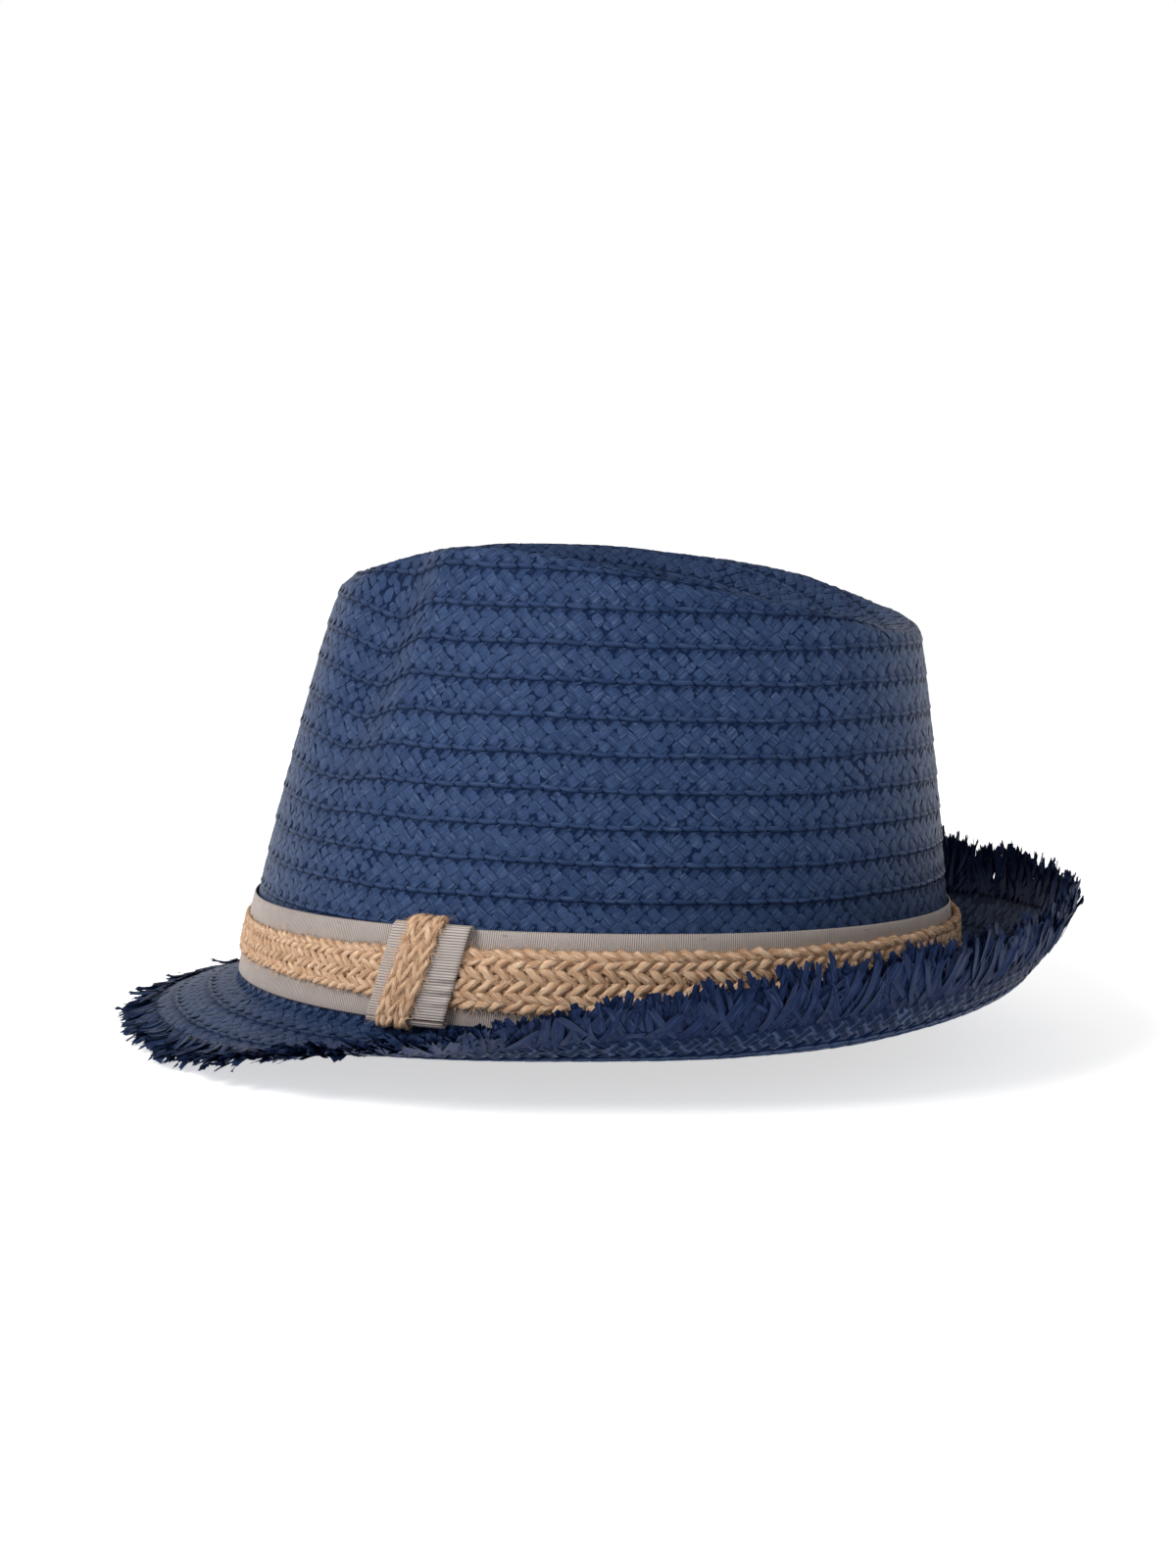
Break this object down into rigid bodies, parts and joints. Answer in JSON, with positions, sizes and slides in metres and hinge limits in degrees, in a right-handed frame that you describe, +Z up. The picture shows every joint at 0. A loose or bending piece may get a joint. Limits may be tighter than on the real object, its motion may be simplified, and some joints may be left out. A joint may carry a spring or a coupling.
{
  "type": "fedora hat",
  "caption": "Short-brim fedora of sewn navy paper braid with a pinched teardrop crown, frayed brim edge, ribbon and jute band, keeper and sweatband.",
  "frame": {"origin": "centre of the head opening, on the fold between crown and brim", "axes": "+Z up through the crown, -Y towards the front of the hat, +X towards the wearer's left"},
  "size_m": [0.2368, 0.2825, 0.1429],
  "materials": {
    "navy_braid": "matt plaited paper straw",
    "navy_fringe": "matt frayed paper strands",
    "grosgrain": "ribbed ribbon with a slight sheen",
    "jute": "hairy plaited jute",
    "sweatband_cotton": "plain cotton weave",
    "seam_tape": "folded cotton tape",
    "label_cloth": "blank woven label",
    "thread": "sewing thread"
  },
  "bodies": {
    "root": {"crown_turn_01": "navy_braid", "crown_turn_02": "navy_braid", "crown_turn_03": "navy_braid", "crown_turn_04": "navy_braid", "crown_turn_05": "navy_braid", "crown_turn_06": "navy_braid", "crown_turn_07": "navy_braid", "crown_turn_08": "navy_braid", "crown_turn_09": "navy_braid", "crown_turn_10": "navy_braid", "crown_turn_11": "navy_braid", "crown_turn_12": "navy_braid", "crown_turn_13": "navy_braid", "crown_turn_14": "navy_braid", "crown_turn_15": "navy_braid", "crown_turn_16": "navy_braid", "crown_turn_17": "navy_braid", "crown_turn_18": "navy_braid", "crown_turn_19": "navy_braid", "crown_turn_20": "navy_braid", "crown_root_turn": "navy_braid", "brim_turn_1": "navy_braid", "brim_turn_2": "navy_braid", "brim_turn_3": "navy_braid", "fringe_edge": "navy_fringe", "hatband_ribbon": "grosgrain", "keeper_ribbon_tab": "grosgrain", "hatband_jute_braid": "jute", "keeper_jute_wrap": "jute", "sweatband": "sweatband_cotton", "sweatband_seam_tape": "seam_tape", "size_label": "label_cloth", "sweatband_stitches": "thread", "band_tack_stitches": "thread"}
  },
  "joints": []
}
